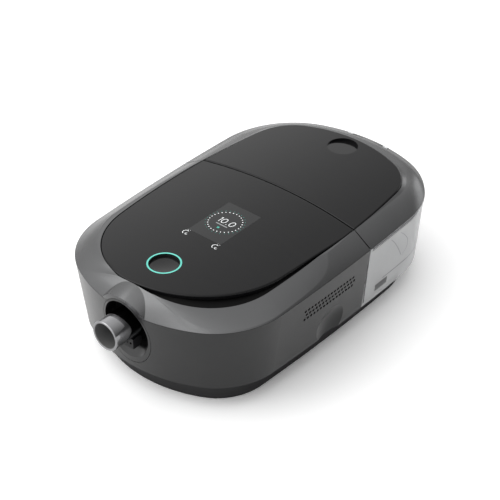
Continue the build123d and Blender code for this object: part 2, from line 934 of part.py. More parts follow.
upper_bearing_z = volute_low_z + volute_t - bearing_t
lower_bearing_z = motor_low_z + motor_wall + slip
impeller_low_z = volute_low_z + volute_t + impeller_gap


def motor_bearings():
    """Ball bearings at the top and the foot of the motor, each as one ring."""
    rings = []
    for low_z in (lower_bearing_z, upper_bearing_z):
        ring = blower_disc(low_z, low_z + bearing_t, bearing_r)
        rings.append(ring - blower_disc(low_z - over, low_z + bearing_t + over, shaft_r + slip))
    return rings


def bearing_holder():
    """Spider that holds the lower bearing in the motor cup."""
    holder = blower_disc(lower_bearing_z, lower_bearing_z + bearing_t, motor_r - slip)
    return holder - blower_disc(0, lower_bearing_z + bearing_t + over, bearing_r + slip)


def motor_shaft():
    shaft_high_z = impeller_low_z + impeller_disc_t + blade_height / 2
    return blower_disc(lower_bearing_z + slip, shaft_high_z, shaft_r)


stator_low_z = lower_bearing_z + bearing_t + stator_gap


def rotor_magnet():
    magnet = blower_disc(stator_low_z, stator_low_z + stator_height, rotor_r)
    return magnet - blower_disc(0, BIG / 4, shaft_r + slip / 2)


def motor_stator():
    """Wound ring round the rotor, with slots for the windings on its inside."""
    bore = rotor_r + stator_gap
    ring = blower_disc(stator_low_z, stator_low_z + stator_height, motor_r - slip)
    ring = ring - blower_disc(0, BIG / 4, bore)
    slot = Pos(bore, 0, 0) * Box(2 * slot_depth, slot_width, stator_height + 2 * over)
    for step in range(slot_count):
        turn = Rot(0, 0, step * 360 / slot_count)
        ring = ring - Pos(blower_x, blower_y, stator_low_z + stator_height / 2) * turn * slot
    return ring


def impeller():
    """Backed fan wheel with swept blades round an open eye."""
    blade_low = impeller_low_z + impeller_disc_t
    wheel = blower_disc(impeller_low_z, blade_low, impeller_r)
    wheel = wheel + blower_disc(impeller_low_z, blade_low + blade_height / 2, impeller_hub_r)
    blade_length = impeller_r - impeller_hub_r - blade_root_gap
    blade_middle = impeller_hub_r + blade_root_gap + blade_length / 2
    for step in range(blade_count):
        blade = Pos(blade_middle, 0, blade_height / 2) * Rot(0, 0, blade_sweep)
        blade = blade * Box(blade_length, blade_t, blade_height)
        wheel = wheel + Pos(blower_x, blower_y, blade_low) * Rot(0, 0, step * 360 / blade_count) * blade
    wheel = wheel & blower_disc(impeller_low_z, blade_low + blade_height, impeller_r)
    return wheel - blower_disc(0, BIG / 4, shaft_r + slip / 2)


def blower_mounts():
    """Rubber posts between the box floor and the fan chamber."""
    posts = []
    reach = (motor_r + motor_wall + volute_r) / 2
    for step in range(mount_count):
        angle = radians(90 + step * 360 / mount_count)
        x = blower_x + reach * cos(angle)
        y = blower_y + reach * sin(angle)
        posts.append(disc(x, y, box_low_z + box_wall + slip, volute_low_z - slip, mount_r))
    return posts


def blower_box():
    """Open-topped sound box round the blower, on legs that reach the base."""
    outer = block((box_low_x, box_low_y, box_low_z), (box_high_x, box_high_y, box_high_z))
    inner = block(
        (box_low_x + box_wall, box_low_y + box_wall, box_low_z + box_wall),
        (box_high_x - box_wall, box_high_y - box_wall, box_high_z + over),
    )
    box = outer - inner
    for y in (box_low_y + leg_r, box_high_y - leg_r):
        box = box + disc(box_high_x - leg_r, y, floor_z, box_low_z + box_wall, leg_r)
    box = box - blower_disc(0, box_low_z + box_wall + over, motor_r + motor_wall + box_clear)
    box = box - rod_y(nozzle_x, blower_y, box_high_y + over, split_z, nozzle_r + nozzle_gap)
    return box - filter_window()


def filter_window():
    """The way from the filter through the box's left wall."""
    half_y = filter_window_width / 2
    mid_z = (door_low_z + door_axis_z) / 2
    half_z = filter_window_height / 2
    return block(
        (box_low_x - cassette_t, door_y - half_y, mid_z - half_z),
        (box_low_x + box_wall + over, door_y + half_y, mid_z + half_z),
    )


def blower_box_lid():
    low_z = box_high_z + slip
    return block((box_low_x, box_low_y, low_z), (box_high_x, box_high_y, low_z + box_wall))


def acoustic_foam():
    """Sound-damping pad under the box lid."""
    return block(
        (box_low_x + box_wall + fit_gap, box_low_y + box_wall + fit_gap, box_high_z - foam_t),
        (box_high_x - box_wall - fit_gap, box_high_y - box_wall - fit_gap, box_high_z),
    )


def feed_duct():
    """Silicone sleeve from the blower nozzle to the tank's air port."""
    pipe = rod_y(nozzle_x, nozzle_back - duct_grip, seam_y, split_z, nozzle_r + slip + duct_wall)
    pipe = pipe - rod_y(nozzle_x, nozzle_back - duct_grip - over, seam_y + over, split_z, nozzle_r + slip)
    return pipe & seam_drum(-wall - fit_gap)


# ---------------------------------------------------------------- air filter and its door


def filter_door():
    """Louvred piece of the left wall that swings up about its rounded top edge."""
    leaf = (wall_outer - wall_inner) & door_window() & below(flat(door_axis_z))
    low_y = door_y - door_width / 2
    high_y = door_y + door_width / 2
    leaf = leaf + rod_y(-door_x, low_y, high_y, door_axis_z, wall / 2)
    pin_low_y = low_y - door_pin_length
    leaf = leaf + rod_y(-door_x, pin_low_y, high_y + door_pin_length, door_axis_z, door_pin_r)
    mid_z = (door_low_z + door_axis_z) / 2
    for step in range(louvre_count):
        z = mid_z + (step - (louvre_count - 1) / 2) * louvre_pitch
        leaf = leaf - block(
            (-body_width, door_y - louvre_length / 2, z - louvre_height / 2),
            (-body_width / 3, door_y + louvre_length / 2, z + louvre_height / 2),
        )
    return leaf


def cassette_block(shrink):
    low_x = box_low_x - fit_gap - cassette_t
    high_x = box_low_x - fit_gap
    half_y = filter_window_width / 2 + 2 * cassette_wall - shrink
    mid_z = (door_low_z + door_axis_z) / 2
    half_z = filter_window_height / 2 + 2 * cassette_wall - shrink
    return block((low_x, door_y - half_y, mid_z - half_z), (high_x, door_y + half_y, mid_z + half_z))


def filter_cassette():
    """Frame that holds the filter against the sound box."""
    return cassette_block(0) - cassette_block(cassette_wall)


def pollen_filter():
    return cassette_block(cassette_wall + fit_gap)


# ---------------------------------------------------------------- boards and power inlet


def board_posts():
    half_x = main_board_width / 2 - board_post_inset
    half_y = main_board_length / 2 - board_post_inset
    return [(main_board_x + i * half_x, main_board_y + j * half_y) for i in (-1, 1) for j in (-1, 1)]


def main_board():
    half_x = main_board_width / 2
    half_y = main_board_length / 2
    return block(
        (main_board_x - half_x, main_board_y - half_y, main_board_z),
        (main_board_x + half_x, main_board_y + half_y, main_board_z + board_t),
    )


def board_components():
    """Capacitors, chips and plugs on the main board."""
    low_z = main_board_z + board_t
    pieces = []
    for step in range(capacitor_count):
        y = main_board_y + main_board_length / 2 - capacitor_inset - step * capacitor_pitch
        pieces.append(disc(main_board_x + capacitor_x, y, low_z, low_z + capacitor_height, capacitor_r))
    for step in range(chip_count):
        y = main_board_y + chip_y - step * chip_pitch
        low = (main_board_x - chip_size / 2, y - chip_size / 2, low_z)
        high = (main_board_x + chip_size / 2, y + chip_size / 2, low_z + chip_t)
        pieces.append(block(low, high))
    plug_x = main_board_x + main_board_width / 2 - plug_width - over
    for step in range(plug_count):
        y = main_board_y + (step - (plug_count - 1) / 2) * plug_pitch
        low = (plug_x, y - plug_length / 2, low_z)
        high = (plug_x + plug_width, y + plug_length / 2, low_z + plug_height)
        pieces.append(block(low, high))
    return pieces


inlet_face_x = half_width_at(inlet_z, inlet_y) - parting_gap
inlet_wall_x = half_width_at(inlet_z - inlet_block / 2, inlet_y) - wall - 3 * fit_gap


def power_socket():
    """Round low-voltage inlet in the left wall, with a contact pin deep in its bore."""
    half = inlet_block / 2
    block_end = -inlet_wall_x + inlet_depth
    body = rod_x(-inlet_face_x, -inlet_wall_x + over, inlet_y, inlet_z, inlet_barrel_r)
    low = (-inlet_wall_x, inlet_y - half, inlet_z - half)
    body = body + block(low, (block_end, inlet_y + half, inlet_z + half))
    bore_end = block_end - inlet_back
    body = body - rod_x(-inlet_face_x - over, bore_end, inlet_y, inlet_z, inlet_bore_r)
    pin_tip = -inlet_face_x + inlet_pin_set_back
    return body + rod_x(pin_tip, bore_end + inlet_back / 2, inlet_y, inlet_z, inlet_pin_r)


# ---------------------------------------------------------------- bulkhead and dock


def port_places():
    """Centres of the feed port and the return port."""
    return [(nozzle_x, split_z), (0, outlet_z)]


def rear_bulkhead():
    """Bowed wall that closes the front unit towards the tank, open at the two air ports."""
    low = frustum(
        skirt.inset(wall + fit_gap),
        flat(skirt_z + wall + fit_gap),
        crease.inset(wall + fit_gap),
        crease_plane(-fit_gap),
    )
    high = prism(top.inset(wall), crease_z(seam_y) - wall, top_z)
    high = high & below(carrier_plane(-carrier_t - fit_gap))
    sheet = (low + high) & (seam_drum() - seam_drum(-wall))
    for x, z in port_places():
        sheet = sheet - rod_y(x, 0, BIG / 4, z, port_r)
    return sheet


def dock_port_seals():
    """Soft rings round the air ports, set into the bulkhead's face and standing a little proud of it."""
    rings = []
    for x, z in port_places():
        ring = rod_y(x, 0, BIG / 4, z, seal_r) - rod_y(x, -over, BIG / 2, z, port_r)
        rings.append(ring & (seam_drum(seal_proud) - seam_drum(slip)))
    return rings


def dock_deck():
    """Deck under the tank, with a pocket for the heater."""
    plate = prism(plinth.inset(wall + deck_gap), deck_z - deck_t, deck_z) - seam_drum(fit_gap)
    pocket_r = heater_r + heater_flange + heater_gap
    pocket_low = deck_z - deck_t - heater_gap - heater_t - cushion_t
    cup = disc(0, heater_y, pocket_low - deck_t / 2, deck_z - deck_t / 2, pocket_r + deck_t / 2)
    deck = plate + cup - disc(0, heater_y, pocket_low, deck_z - deck_t, pocket_r)
    return deck - disc(0, heater_y, deck_z - deck_t, deck_z + over, heater_r + heater_gap)


heater_flange_top = deck_z - deck_t - slip
heater_low_z = heater_flange_top - heater_t / 2


def heater_plate():
    """Flanged hot plate that floats on its cushion under the tank."""
    plate = disc(0, heater_y, heater_low_z, deck_z + heater_proud, heater_r)
    return plate + disc(0, heater_y, heater_low_z, heater_flange_top, heater_r + heater_flange)


def heater_cushion():
    """Springy silicone ring that pushes the hot plate up."""
    low_z = deck_z - deck_t - heater_gap - heater_t - cushion_t + slip
    ring = disc(0, heater_y, low_z, heater_low_z - slip, heater_r - cushion_inset)
    return ring - disc(0, heater_y, 0, heater_low_z + over, heater_r - cushion_inset - cushion_width)


# ---------------------------------------------------------------- water tank

hinge_y = rear - hinge_inset
hinge_z = crease_z(rear) - hinge_drop


def hinge_rod(low_x, high_x, radius):
    return rod_x(low_x, high_x, hinge_y, hinge_z, radius)


def tank_tub():
    """Clear tub with a bowed front, a seal flange inside its rim and ears for the lid hinge."""
    outer = frustum(skirt, flat(tub_z), crease, crease_plane(-parting_gap)) - seam_drum(seam_gap)
    inner = frustum(skirt.inset(tub_wall), flat(tub_floor_z), crease.inset(tub_wall), crease_plane(over))
    flange_band = above(crease_plane(-flange_drop - flange_height)) & below(crease_plane(-flange_drop))
    hole = tank_region(crease, tub_wall + flange_width, tub_wall + flange_width + hinge_side_inset)
    shelf = (inner & flange_band) - hole - seam_drum(seam_gap + tub_wall)
    tub = outer - (inner - seam_drum(seam_gap + tub_wall)) + shelf
    tub = tub - disc(0, heater_y, 0, tub_floor_z + over, tank_plate_r + fit_gap)
    for x, z in port_places():
        tub = tub - rod_y(x, 0, seam_y + port_depth, z, port_r)
    tub = tub - hinge_rod(-hinge_sweep_half, hinge_sweep_half, hinge_sweep_r)
    for side in (-1, 1):
        near = side * (knuckle_half + ear_gap)
        far = side * (knuckle_half + ear_gap + ear_width)
        low_x = min(near, far)
        high_x = max(near, far)
        web_low = (low_x, hinge_y - knuckle_r, hinge_z - 2 * hinge_sweep_r)
        web = block(web_low, (high_x, hinge_y + knuckle_r / 2, hinge_z))
        web = web & prism(crease.inset(tub_wall / 2), 0, top_z)
        tub = tub + hinge_rod(low_x, high_x, knuckle_r) + web
    return tub - hinge_rod(-body_width / 4, body_width / 4, hinge_pin_r + slip)


def lid_hinge_pin():
    reach = knuckle_half + ear_gap + ear_width
    return hinge_rod(-reach, reach, hinge_pin_r)


def tank_base_plate():
    """Metal pan in the tub's floor that takes up the heat."""
    plate = disc(0, heater_y, tub_z, tub_floor_z + tank_plate_t, tank_plate_r)
    flange_low = tub_floor_z + slip
    flange_r_out = tank_plate_r + tank_plate_flange
    return plate + disc(0, heater_y, flange_low, tub_floor_z + tank_plate_t, flange_r_out)


def tank_baffle():
    """Curved wall in the tub that keeps splashes away from the air ports."""
    low_z = tub_floor_z + tank_plate_t + slip
    ring = disc(baffle_x, baffle_y, low_z, low_z + baffle_height, baffle_r)
    ring = ring - disc(baffle_x, baffle_y, 0, BIG / 4, baffle_r - baffle_t)
    low = (baffle_x + baffle_end, baffle_y + baffle_end, 0)
    return ring & block(low, (baffle_x + baffle_r, baffle_y + baffle_r, BIG / 4))


def tank_lid_rim():
    """Sloping rim of the lid, with a ledge for the lid panel and the lid's hinge knuckle."""
    outer = frustum(crease, crease_plane(), top.inset(rim_land), flat(rim_edge_rear_z + rim_land / 2))
    lip = flat(rim_edge_rear_z - rim_lip)
    inner = frustum(crease.inset(wall), crease_plane(-parting_gap), top.inset(-rim_wall), lip)
    under_panel = crown(0, panel_t + fit_gap / 2)
    rim = outer - inner - prism(top, 0, BIG)
    ledge_low = ledge_bottom()
    ledge = prism(top.inset(-over), ledge_low, top_z) - prism(top.inset(ledge_inset), 0, BIG / 4)
    bar = (outer & seam_drum(seam_gap + wall)) & prism(top.inset(-over), ledge_low, top_z)
    rim = rim + ((ledge + bar) & under_panel)
    rim = rim - seam_drum(seam_gap)
    rim = rim + (hinge_rod(-knuckle_half, knuckle_half, knuckle_r) & prism(crease, 0, top_z))
    for side in (-1, 1):
        near = side * (knuckle_half - ear_gap)
        far = side * (knuckle_half + 2 * ear_gap + ear_width)
        rim = rim - hinge_rod(min(near, far), max(near, far), knuckle_r + ear_gap)
    return rim - hinge_rod(-body_width / 4, body_width / 4, hinge_pin_r + slip)


def ledge_bottom():
    return top_z - crown_drop - panel_t - ledge_depth


def tank_lid_panel():
    """Black glass-like top of the lid, with a thumb notch that deepens to the rear."""
    plate = softened(crowned_plate(0) - seam_drum(seam_gap))
    notch = disc(0, notch_y, top_z / 2, top_z * 1.2, notch_r)
    start = (0, notch_y - notch_r, top_z - notch_step)
    floor = Plane(origin=start, x_dir=(1, 0, 0), z_dir=(0, notch_slope, 1))
    return plate - (notch & above(floor))


def tank_lid_liner():
    """Plate that closes the lid from below and carries the seal."""
    gap = seal_gap + lid_seal_width + slip
    rear_gap = gap + hinge_side_inset
    low = crease_plane(-flange_drop + 2 * fit_gap)
    high = crease_plane(-flange_drop + 2 * fit_gap + liner_t)
    plate = tank_region(crease, tub_wall + gap, tub_wall + rear_gap) & above(low) & below(high)
    inner_top = top.inset(ledge_inset / 2)
    ring = prism(inner_top, 0, ledge_bottom() - slip)
    ring = ring - prism(inner_top.inset(ledge_inset / 2), 0, BIG / 4)
    ring = (ring & above(low)) - seam_drum(seam_gap + tub_wall + gap)
    inside = tank_region(crease, tub_wall + gap, tub_wall + rear_gap)
    return plate + (ring & inside)


def tank_lid_seal():
    """Soft ring round the liner that meets the tub's flange."""
    outer = tank_region(crease, tub_wall + seal_gap, tub_wall + seal_gap + hinge_side_inset)
    width = seal_gap + lid_seal_width
    inner = tank_region(crease, tub_wall + width, tub_wall + width + hinge_side_inset)
    low = crease_plane(-flange_drop + 2 * fit_gap)
    high = crease_plane(-flange_drop + 2 * fit_gap + lid_seal_height)
    return (outer - inner) & above(low) & below(high)


# ---------------------------------------------------------------- write each piece to its own file

PIECES = [
    base_tray,
    rubber_feet,
    case_screws,
    front_housing,
    upper_rim,
    panel_carrier,
    display_panel,
    screen_lens,
    lcd_module,
    display_board,
    icon_light_guides,
    power_button,
    button_bezel,
    button_light_ring,
    button_switch,
    outlet_bowl,
    outlet_well,
    outlet_tube,
    hose_contact_block,
    outlet_duct,
    flow_sensor,
    feed_duct,
    blower_box,
    blower_box_lid,
    acoustic_foam,
    blower_mounts,
    volute_lower,
    volute_upper,
    impeller,
    motor_shaft,
    rotor_magnet,
    motor_stator,
    motor_bearings,
    bearing_holder,
    filter_door,
    filter_cassette,
    pollen_filter,
    main_board,
    board_components,
    power_socket,
    rear_bulkhead,
    dock_port_seals,
    dock_deck,
    heater_plate,
    heater_cushion,
    tank_tub,
    tank_base_plate,
    tank_baffle,
    lid_hinge_pin,
    tank_lid_rim,
    tank_lid_panel,
    tank_lid_liner,
    tank_lid_seal,
]

os.makedirs("parts", exist_ok=True)
for piece in PIECES:
    shape = piece()
    if isinstance(shape, list):
        shape = Compound(children=[Part() + solid for solid in shape])
    export_step(shape, f"parts/{piece.__name__}.step")
    print(piece.__name__)
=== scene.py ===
# %% [markdown]
# A bedside breathing machine, finished
#
# The maker's solids come first.  They hold every size, every joint and every body, and this
# lesson adds what the solids don't have: paint, gloss, light, printed marks and small trim.
# Everything is in metres, in the frame of the solids: +Z is up and -Y is the side with the hose
# outlet.

# %% Load the solids
import math

import bmesh
import bpy
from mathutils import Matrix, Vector
from mathutils.bvhtree import BVHTree


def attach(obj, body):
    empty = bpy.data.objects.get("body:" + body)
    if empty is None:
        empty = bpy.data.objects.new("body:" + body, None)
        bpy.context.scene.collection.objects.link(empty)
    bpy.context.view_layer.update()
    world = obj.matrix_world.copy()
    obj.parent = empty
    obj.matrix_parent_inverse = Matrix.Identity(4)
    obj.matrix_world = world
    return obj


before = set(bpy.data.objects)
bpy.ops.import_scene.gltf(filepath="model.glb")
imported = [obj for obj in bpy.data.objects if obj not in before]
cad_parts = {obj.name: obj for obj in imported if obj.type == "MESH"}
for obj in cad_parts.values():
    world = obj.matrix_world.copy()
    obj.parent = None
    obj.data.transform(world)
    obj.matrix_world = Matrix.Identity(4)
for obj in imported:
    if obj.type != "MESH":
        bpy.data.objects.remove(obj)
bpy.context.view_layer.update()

mm = 0.001

# %% [markdown]
# ## Where the viewer stands
#
# A long lens from a metre away keeps the machine's sides almost parallel, as in a catalogue
# picture.  The place is worked out from a turn, a lift and a distance, so that each of them can
# be changed by itself.  A tracking constraint would aim the camera too, but a direction turned
# into a rotation needs no extra object.

# %% Camera
look_at = Vector((-6.14, 9.76, 40.0)) * mm
camera_turn = math.radians(40.59)
camera_lift = math.radians(35.22)
camera_distance = 1.082
focal_length, sensor_width = 108.0, 36.0
back = Vector(
    (
        math.sin(camera_turn) * math.cos(camera_lift),
        -math.cos(camera_turn) * math.cos(camera_lift),
        math.sin(camera_lift),
    )
)
camera = bpy.data.objects.new("camera", bpy.data.cameras.new("camera"))
camera.data.lens = focal_length
camera.data.sensor_width = sensor_width
camera.data.clip_start = 0.05
camera.location = look_at + back * camera_distance
camera.rotation_euler = back.to_track_quat("Z", "Y").to_euler()
bpy.context.scene.collection.objects.link(camera)
bpy.context.scene.camera = camera
print("camera at", [round(value, 3) for value in camera.location])

# %% [markdown]
# ## Sums with shader sockets
#
# A material is a tree of nodes, and a formula written as nodes is hard to read.  This small
# class wraps a socket and teaches Python's operators to add Math nodes, so a formula stays a
# formula.  `Tree.node` makes every other node: settings first, then the values or links of its
# sockets.


# %% Helpers for node trees
class Wire:
    """One output socket, usable in sums."""

    def __init__(self, tree, socket):
        self.tree = tree
        self.socket = socket

    def math(self, operation, *values):
        inputs = dict(enumerate(values))
        return self.tree.node("ShaderNodeMath", {"operation": operation}, inputs)["Value"]

    def __add__(self, other):
        return self.math("ADD", self, other)

    def __radd__(self, other):
        return self.math("ADD", other, self)

    def __sub__(self, other):
        return self.math("SUBTRACT", self, other)

    def __rsub__(self, other):
        return self.math("SUBTRACT", other, self)

    def __mul__(self, other):
        return self.math("MULTIPLY", self, other)

    def __rmul__(self, other):
        return self.math("MULTIPLY", other, self)

    def __truediv__(self, other):
        return self.math("DIVIDE", self, other)

    def __pow__(self, other):
        return self.math("POWER", self, other)

    def __gt__(self, other):
        return self.math("GREATER_THAN", self, other)

    def __lt__(self, other):
        return self.math("LESS_THAN", self, other)


class Made:
    """A node that has been made; its outputs are reached by name or number."""

    def __init__(self, tree, node):
        self.tree = tree
        self.made = node

    def __getitem__(self, key):
        return Wire(self.tree, self.made.outputs[key])


class Tree:
    """A node tree that grows one call at a time."""

    def __init__(self, nodes_of):
        self.nodes_of = nodes_of
        self.nodes_of.nodes.clear()

    def node(self, kind, settings=None, inputs=None):
        made = self.nodes_of.nodes.new(kind)
        for key, value in (settings or {}).items():
            setattr(made, key, value)
        for key, value in (inputs or {}).items():
            if isinstance(value, Wire):
                self.nodes_of.links.new(value.socket, made.inputs[key])
            else:
                made.inputs[key].default_value = value
        return Made(self, made)


def scaled(colour, share):
    """A colour made darker or lighter, never past white."""
    return tuple(min(1.0, value * share) for value in colour)


class Finish(Tree):
    """A material with the few patterns that moulded and painted goods share.

    Principled, Mix and Noise sockets are reached by the names and numbers Blender gives them:
    in a colour Mix, 0 is the factor, 6 and 7 are the colours and output 2 is the result.
    """

    def __init__(self, name):
        self.material = bpy.data.materials.new(name)
        self.material.use_nodes = True
        super().__init__(self.material.node_tree)
        self.place = self.node("ShaderNodeTexCoord")["Object"]

    def noise(self, size, detail=2.0, stretch=(1.0, 1.0, 1.0)):
        """Soft noise whose blotches are about `size` metres across."""
        place = self.place
        if stretch != (1.0, 1.0, 1.0):
            squeezed = {"Vector": place, "Scale": stretch}
            place = self.node("ShaderNodeMapping", {}, squeezed)["Vector"]
        inputs = {"Vector": place, "Scale": 1.0 / size, "Detail": detail, "Roughness": 0.5}
        return self.node("ShaderNodeTexNoise", {}, inputs)["Fac"]

    def cells(self, size):
        """How far each point is from the middle of its cell; cells are `size` metres across."""
        inputs = {"Vector": self.place, "Scale": 1.0 / size}
        return self.node("ShaderNodeTexVoronoi", {"feature": "F1"}, inputs)["Distance"]

    def bump(self, height, depth):
        """Turns a height of 0 to 1 into relief that is `depth` metres deep."""
        inputs = {"Height": height, "Distance": depth, "Strength": 1.0}
        return self.node("ShaderNodeBump", {}, inputs)["Normal"]

    def tint(self, factor, colour_a, colour_b):
        """Colour a where the factor is 0, colour b where it is 1."""
        return self.blend(factor, (*colour_a, 1.0), (*colour_b, 1.0))

    def blend(self, factor, colour_a, colour_b):
        """The same with four-part colours, or with the output of another node as a colour."""
        inputs = {0: factor, 6: colour_a, 7: colour_b}
        return self.node("ShaderNodeMix", {"data_type": "RGBA"}, inputs)[2]

    def surface(self, **sockets):
        """The main shader; underscores stand for the spaces in its sockets' names."""
        inputs = {}
        for name, value in sockets.items():
            if isinstance(value, tuple) and len(value) == 3:
                value = (*value, 1.0)
            inputs[name.replace("_", " ")] = value
        return self.node("ShaderNodeBsdfPrincipled", {}, inputs)["BSDF"]

    def done(self, shader):
        self.node("ShaderNodeOutputMaterial", {}, {"Surface": shader})
        return self


# %% [markdown]
# ## A plain studio
#
# The machine stands on a pale sweep under soft light.  The floor is matt, and the viewer sees it
# paler than the machine does, so that it reads as white while it still takes a shadow.  The world
# is white to look at.  As a light it is bright overhead at the front left and dim at the back
# right, as if a dark flag stood there: even surroundings would make every gloss look flat.  A
# second, narrow patch of light at the back left puts a soft sheen on the crown of the top plates.

# %% Floor and world
scene = bpy.context.scene
scene.view_settings.view_transform = "Standard"


def seen_directly(tree):
    """1 for rays from the viewer or through something clear, 0 for the others."""
    path = tree.node("ShaderNodeLightPath")
    looked = path["Is Camera Ray"] + path["Is Transmission Ray"]
    return looked.math("MINIMUM", looked, 1.0)


floor_finish = Finish("studio_floor")
floor_tone, seen_extra = 0.78, 0.42
paleness = floor_tone + seen_directly(floor_finish) * seen_extra
floor_shader = floor_finish.surface(Base_Color=paleness, Roughness=0.9, Specular_IOR_Level=0.0)
floor_finish.done(floor_shader)

floor_radius = 6.0
floor_form = bmesh.new()
bmesh.ops.create_circle(floor_form, cap_ends=True, segments=96, radius=floor_radius)
floor_mesh = bpy.data.meshes.new("studio_floor")
floor_form.to_mesh(floor_mesh)
floor_form.free()
floor_mesh.materials.append(floor_finish.material)
floor = bpy.data.objects.new("studio_floor", floor_mesh)
scene.collection.objects.link(floor)

world = bpy.data.worlds.new("studio_world")
world.use_nodes = True
scene.world = world
sky = Tree(world.node_tree)
towards = sky.node("ShaderNodeTexCoord")["Generated"]


def likeness(direction):
    """1 where the sky is looked at along `direction`, 0 to its side, -1 opposite."""
    inputs = {0: towards, 1: direction}
    return sky.node("ShaderNodeVectorMath", {"operation": "DOT_PRODUCT"}, inputs)["Value"]


dome_towards, dome_power = (-0.35, -0.55, 0.76), 1.55
patch_towards, patch_power, patch_tightness = (-0.62, 0.72, 0.32), 0.60, 16.0
base_glow = 0.06
dome = (0.5 + likeness(dome_towards) * 0.5) ** 2.0 * dome_power
patch = likeness(patch_towards)
patch = patch.math("MAXIMUM", patch, 0.0) ** patch_tightness * patch_power
glow = base_glow + dome + patch
sky_strength = glow + seen_directly(sky) * (1.0 - glow)
sky_inputs = {"Color": (1.0, 1.0, 1.0, 1.0), "Strength": sky_strength}
sky_light = sky.node("ShaderNodeBackground", {}, sky_inputs)
sky.node("ShaderNodeOutputWorld", {}, {"Surface": sky_light["Background"]})
print("floor and world ready")

# %% [markdown]
# ## Soft boxes
#
# Three large lamps shape the body: a key high at the front left, a weak fill at the front right
# and a low, wide one behind.  Large lamps give soft edges to the shadow and long, quiet glints
# on the gloss.


# %% Lamps
def soft_box(name, place, aim, width, height, power):
    lamp = bpy.data.lights.new(name, "AREA")
    lamp.shape = "RECTANGLE"
    lamp.size = width
    lamp.size_y = height
    lamp.energy = power
    box = bpy.data.objects.new(name, lamp)
    box.location = place
    box.rotation_euler = (Vector(place) - Vector(aim)).to_track_quat("Z", "Y").to_euler()
    scene.collection.objects.link(box)


soft_box("key_box", (-0.62, -0.60, 0.90), (0.0, -0.05, 0.05), 1.0, 1.0, 3.2)
soft_box("fill_box", (0.25, -1.05, 0.75), (0.0, 0.0, 0.04), 0.6, 0.6, 0.6)
soft_box("back_box", (0.15, 1.25, 0.45), (0.0, 0.05, 0.04), 0.8, 0.4, 1.5)

# %% [markdown]
# ## Gunmetal paint
#
# The side wall and the sloping rim are moulded in grey plastic with a satin metallic coat.  It is
# one paint in two copies: the side wall's copy is much darker, as painted shade on the upright
# faces, and the rim's copy lighter, as painted light on the top.  Fine flakes break up the gloss,
# and a spark-eroded mould leaves a grain that is only felt.  Patterns at three scales do this:
# blotches in the colour, flakes in the roughness, grain in the bump.  The rim is also a little
# rounded from edge to edge, which a broad bump shows in its gloss.


# %% Painted plastic
body_front_y, body_length = -126.3, 269.0
crease_front_z, crease_rise, crease_slope = 68.4, 6.4, 0.0238
rim_top_z, rim_top_y, rim_top_fall = 80.5 * mm, 34.6 * mm, 0.0155


def swelling(finish):
    """0 at the rim's lower and upper edge, 1 half way up, as on a softly rounded band.

    The lower edge is the crease, which rises backwards; the upper edge falls backwards.
    """
    axes = finish.node("ShaderNodeSeparateXYZ", {}, {"Vector": finish.place})
    low = crease_front_z * mm + (axes["Y"] - body_front_y * mm) * crease_slope
    high = rim_top_z - (axes["Y"] - rim_top_y) * rim_top_fall
    share = (axes["Z"] - low) / (high - low)
    share = share.math("MAXIMUM", share.math("MINIMUM", share, 1.0), 0.0)
    return 4.0 * share * (1.0 - share)


def satin_paint(name, colour, shine, metallic, coat, belly=0.0):
    """Satin paint; `belly` is how far a sloping face seems to swell, in metres."""
    grain = 0.000006
    finish = Finish(name)
    drift = finish.noise(0.045, 3.0)
    flakes = finish.cells(0.0007)
    relief = finish.noise(0.0005, 2.0)
    shader = finish.surface(
        Base_Color=finish.tint(drift, scaled(colour, 0.92), scaled(colour, 1.08)),
        Roughness=shine + (drift - 0.5) * 0.05 + (flakes - 0.4) * 0.03,
        Metallic=metallic,
        Coat_Weight=coat,
        Coat_Roughness=0.22,
        Normal=finish.bump(relief * grain + swelling(finish) * belly, 1.0),
    )
    return finish.done(shader)


# The side wall's copy is painted much darker than the rim's: painted shade on the upright faces,
# painted light on the top, of one and the same paint.
shaded_side_paint = satin_paint("shaded_side_paint", (0.022, 0.0223, 0.0228), 0.34, 0.90, 0.80)
lit_rim_paint = satin_paint("lit_rim_paint", (0.125, 0.126, 0.128), 0.24, 0.95, 0.3, belly=0.0012)
print("painted:", shaded_side_paint.material.name, lit_rim_paint.material.name)

# %% [markdown]
# ## Black gloss
#
# The two top plates are black glass-like plastic.  The colour itself is nearly nothing, so what
# is seen is the reflection.  Faint wiping marks and a little dust keep the reflection from
# looking computed.


# %% Gloss plates
def black_gloss(name, colour, shine, index=1.40):
    """Black plastic that is nearly all reflection; a higher `index` reflects more."""
    finish = Finish(name)
    wiped = finish.noise(0.02, 3.0, stretch=(1.0, 4.0, 1.0))
    dust = finish.cells(0.004) < 0.02
    waves = finish.noise(0.05, 1.0)
    pale = tuple(value + 0.002 for value in colour)
    shader = finish.surface(
        Base_Color=finish.tint(wiped, colour, pale),
        Roughness=shine + (wiped - 0.5) * 0.05 + dust * 0.1,
        IOR=index,
        Normal=finish.bump(waves, 0.00004),
    )
    return finish.done(shader)


plate_gloss = black_gloss("plate_gloss", (0.004, 0.004, 0.0044), 0.12, 1.34)
lens_gloss = black_gloss("lens_gloss", (0.017, 0.0175, 0.018), 0.07)
cap_gloss = black_gloss("cap_gloss", (0.010, 0.010, 0.0105), 0.16)
print("gloss plates ready")

# %% [markdown]
# ## Moulded plastic, rubber and metal inside
#
# The hidden pieces are plain goods, but each still has its own grain: a spark-eroded mould for
# plastic, a dull bloom on rubber, turning marks on metal.


# %% Plain goods
def moulded(name, colour, shine, grain=0.00003, grain_size=0.0006, speck=0.06, gloss=0.5):
    """Plastic or rubber; `grain` is the depth of its grain, `speck` how much its tone drifts."""
    finish = Finish(name)
    drift = finish.noise(0.03, 2.0)
    relief = finish.noise(grain_size, 3.0)
    shader = finish.surface(
        Base_Color=finish.tint(drift, scaled(colour, 1.0 - speck), scaled(colour, 1.0 + speck)),
        Roughness=shine + (relief - 0.5) * 0.12,
        Specular_IOR_Level=gloss,
        Normal=finish.bump(relief, grain),
    )
    return finish.done(shader)


